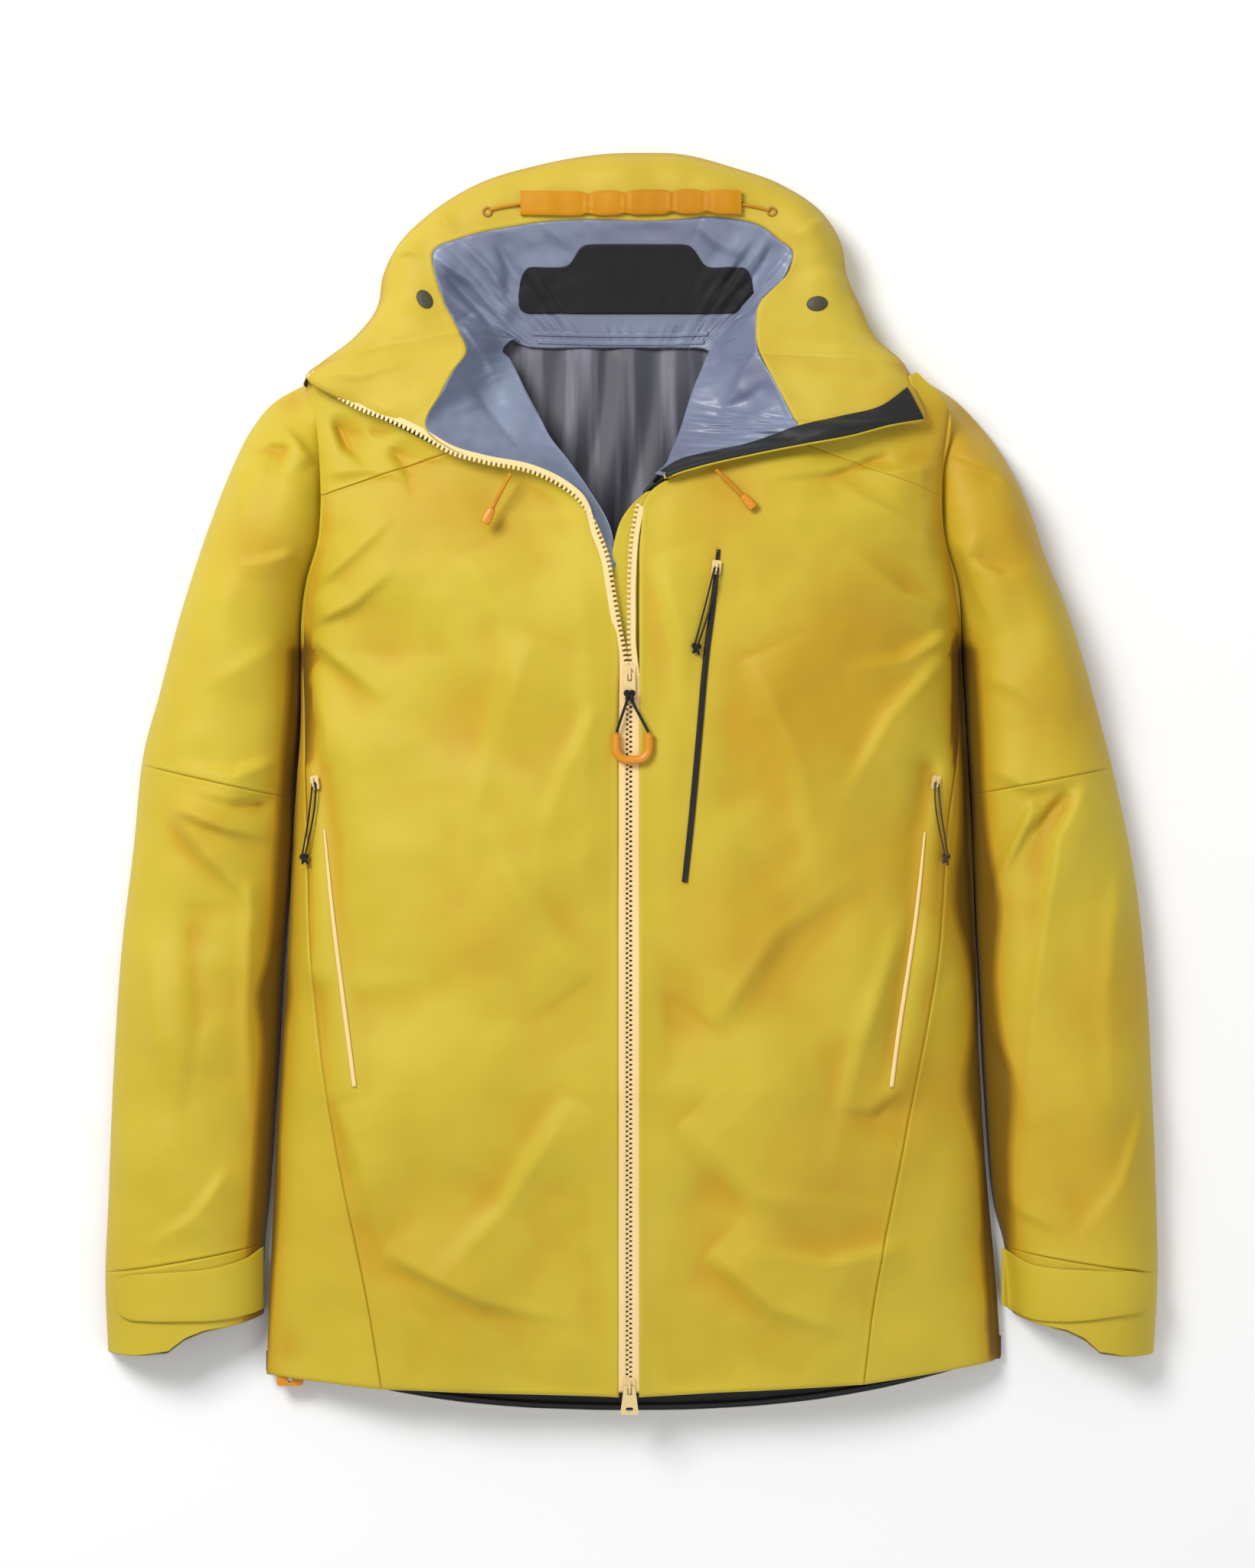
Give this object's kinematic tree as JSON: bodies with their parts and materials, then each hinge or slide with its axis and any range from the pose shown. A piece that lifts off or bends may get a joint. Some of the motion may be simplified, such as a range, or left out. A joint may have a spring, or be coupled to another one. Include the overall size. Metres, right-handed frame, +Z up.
{
  "type": "hardshell jacket",
  "caption": "Hooded waterproof shell jacket laid flat on its back, with an open collar, a two-way main zip, chest and hand pocket zips, adjustable cuffs and knotted cord pulls",
  "frame": {"origin": "on the underside of the back panel, on the line of the main zip, half way up the jacket", "axes": "+Z up from the surface that the jacket lies on, +Y from the hem towards the hood, +X towards the wearer's left"},
  "size_m": [0.7998, 0.9561, 0.1049],
  "materials": {
    "face_fabric": "matte woven",
    "lining_fabric": "satin woven",
    "inside_dark": "matte woven",
    "black_trim": "matte",
    "zip_tape": "matte woven",
    "zip_teeth": "moulded",
    "black_zip": "glossy coated",
    "cream_plastic": "satin",
    "orange_plastic": "satin",
    "orange_cord": "braided",
    "black_cord": "braided",
    "brown_cord": "braided",
    "elastic": "braided",
    "eyelet_metal": "satin"
  },
  "bodies": {
    "shell": {"back_panel": "face_fabric", "hem_facing": "inside_dark", "side_panel_right": "face_fabric", "side_panel_left": "face_fabric", "front_panel_right": "face_fabric", "front_panel_left": "face_fabric", "yoke_right": "face_fabric", "yoke_left": "face_fabric", "collar_right": "lining_fabric", "collar_left": "lining_fabric", "main_zip_tape_right": "zip_tape", "main_zip_tape_left": "zip_tape", "main_zip_teeth_right": "zip_teeth", "main_zip_teeth_left": "zip_teeth", "storm_flap": "face_fabric", "chin_guard": "black_trim", "chest_zip": "black_zip", "hand_right_zip": "zip_teeth", "hand_left_zip": "zip_teeth", "chest_pocket_bag": "lining_fabric", "hand_pocket_bags": "lining_fabric", "hem_drawcord": "elastic", "hem_toggle": "orange_plastic", "hang_loop": "black_trim", "collar_cord_right": "orange_cord", "collar_cord_left": "orange_cord"},
    "hood": {"hood_back_panel": "face_fabric", "hood_side_left": "face_fabric", "hood_side_right": "face_fabric", "hood_brim": "face_fabric", "label_patch": "black_trim", "cord_lock_pads": "black_trim", "brim_channel": "orange_cord", "brim_elastic": "elastic", "brim_eyelets": "eyelet_metal"},
    "sleeve_right": {"upper_sleeve_right": "face_fabric"},
    "sleeve_left": {"upper_sleeve_left": "face_fabric"},
    "forearm_right": {"forearm_right": "face_fabric", "cuff_right": "face_fabric"},
    "forearm_left": {"forearm_left": "face_fabric", "cuff_left": "face_fabric"},
    "tab_right": {"cuff_tab_right": "face_fabric"},
    "tab_left": {"cuff_tab_left": "face_fabric"},
    "main_slider": {"main_slider": "cream_plastic"},
    "main_pull": {"main_puller": "cream_plastic", "main_pull_knot": "black_cord", "main_pull_cord": "black_cord", "main_grip": "orange_plastic"},
    "bottom_slider": {"bottom_slider": "cream_plastic"},
    "bottom_pull": {"bottom_puller": "cream_plastic"},
    "chest_slider": {"chest_slider": "cream_plastic"},
    "chest_pull": {"chest_pull_cord": "black_cord", "chest_pull_knot": "black_cord"},
    "hand_right_slider": {"hand_right_slider": "cream_plastic"},
    "hand_right_pull": {"hand_right_pull_cord": "black_cord", "hand_right_pull_knot": "black_cord"},
    "hand_left_slider": {"hand_left_slider": "cream_plastic"},
    "hand_left_pull": {"hand_left_pull_cord": "brown_cord", "hand_left_pull_knot": "brown_cord"}
  },
  "joints": [
    {"name": "hood_lift", "type": "hinge", "parent": "shell", "child": "hood", "pos_m": [0, 0.348, 0.055], "axis": [1, 0, 0], "range_deg": [0, 45]},
    {"name": "shoulder_right", "type": "hinge", "parent": "shell", "child": "sleeve_right", "pos_m": [-0.243, 0.305, 0], "axis": [0, 0, -1], "range_deg": [0, 45]},
    {"name": "shoulder_left", "type": "hinge", "parent": "shell", "child": "sleeve_left", "pos_m": [0.243, 0.305, 0], "axis": [0, 0, 1], "range_deg": [0, 45]},
    {"name": "elbow_right", "type": "hinge", "parent": "sleeve_right", "child": "forearm_right", "pos_m": [-0.3715, 0.002, 0], "axis": [0, 0, -1], "range_deg": [0, 35]},
    {"name": "elbow_left", "type": "hinge", "parent": "sleeve_left", "child": "forearm_left", "pos_m": [0.3715, 0.002, 0], "axis": [0, 0, 1], "range_deg": [0, 35]},
    {"name": "cuff_tab_right_lift", "type": "hinge", "parent": "forearm_right", "child": "tab_right", "pos_m": [-0.3145, -0.387, 0.0542], "axis": [0, 1, 0], "range_deg": [0, 108]},
    {"name": "cuff_tab_left_lift", "type": "hinge", "parent": "forearm_left", "child": "tab_left", "pos_m": [0.3145, -0.387, 0.0542], "axis": [0, -1, 0], "range_deg": [0, 108]},
    {"name": "main_zip_slide", "type": "slide", "parent": "shell", "child": "main_slider", "axis": [0, -0.9993, -0.0376], "range_m": [0, 0.2]},
    {"name": "main_puller_swing", "type": "hinge", "parent": "main_slider", "child": "main_pull", "pos_m": [0, 0.08183, 0.09713], "axis": [-1, 0, 0], "range_deg": [0, 150]},
    {"name": "bottom_zip_slide", "type": "slide", "parent": "shell", "child": "bottom_slider", "axis": [0, 0.9894, 0.1455], "range_m": [0, 0.2]},
    {"name": "bottom_puller_swing", "type": "hinge", "parent": "bottom_slider", "child": "bottom_pull", "pos_m": [0, -0.45365, 0.05257], "axis": [-1, 0, 0], "range_deg": [0, 150]},
    {"name": "chest_zip_slide", "type": "slide", "parent": "shell", "child": "chest_slider", "axis": [-0.0992, -0.9948, -0.0231], "range_m": [0, 0.19]},
    {"name": "chest_pull_swing", "type": "hinge", "parent": "chest_slider", "child": "chest_pull", "pos_m": [0.06449, 0.16067, 0.09896], "axis": [-0.9944, 0.0982, 0.0398], "range_deg": [0, 150]},
    {"name": "hand_right_zip_slide", "type": "slide", "parent": "shell", "child": "hand_right_slider", "axis": [0.1244, -0.9896, 0.0726], "range_m": [0, 0.19]},
    {"name": "hand_right_pull_swing", "type": "hinge", "parent": "hand_right_slider", "child": "hand_right_pull", "pos_m": [-0.23755, 0.00107, 0.0508], "axis": [-0.885, -0.1438, -0.4429], "range_deg": [0, 150]},
    {"name": "hand_left_zip_slide", "type": "slide", "parent": "shell", "child": "hand_left_slider", "axis": [-0.1405, -0.988, 0.0646], "range_m": [0, 0.19]},
    {"name": "hand_left_pull_swing", "type": "hinge", "parent": "hand_left_slider", "child": "hand_left_pull", "pos_m": [0.23099, 0.00102, 0.05585], "axis": [-0.9053, 0.1546, 0.3956], "range_deg": [0, 150]}
  ]
}
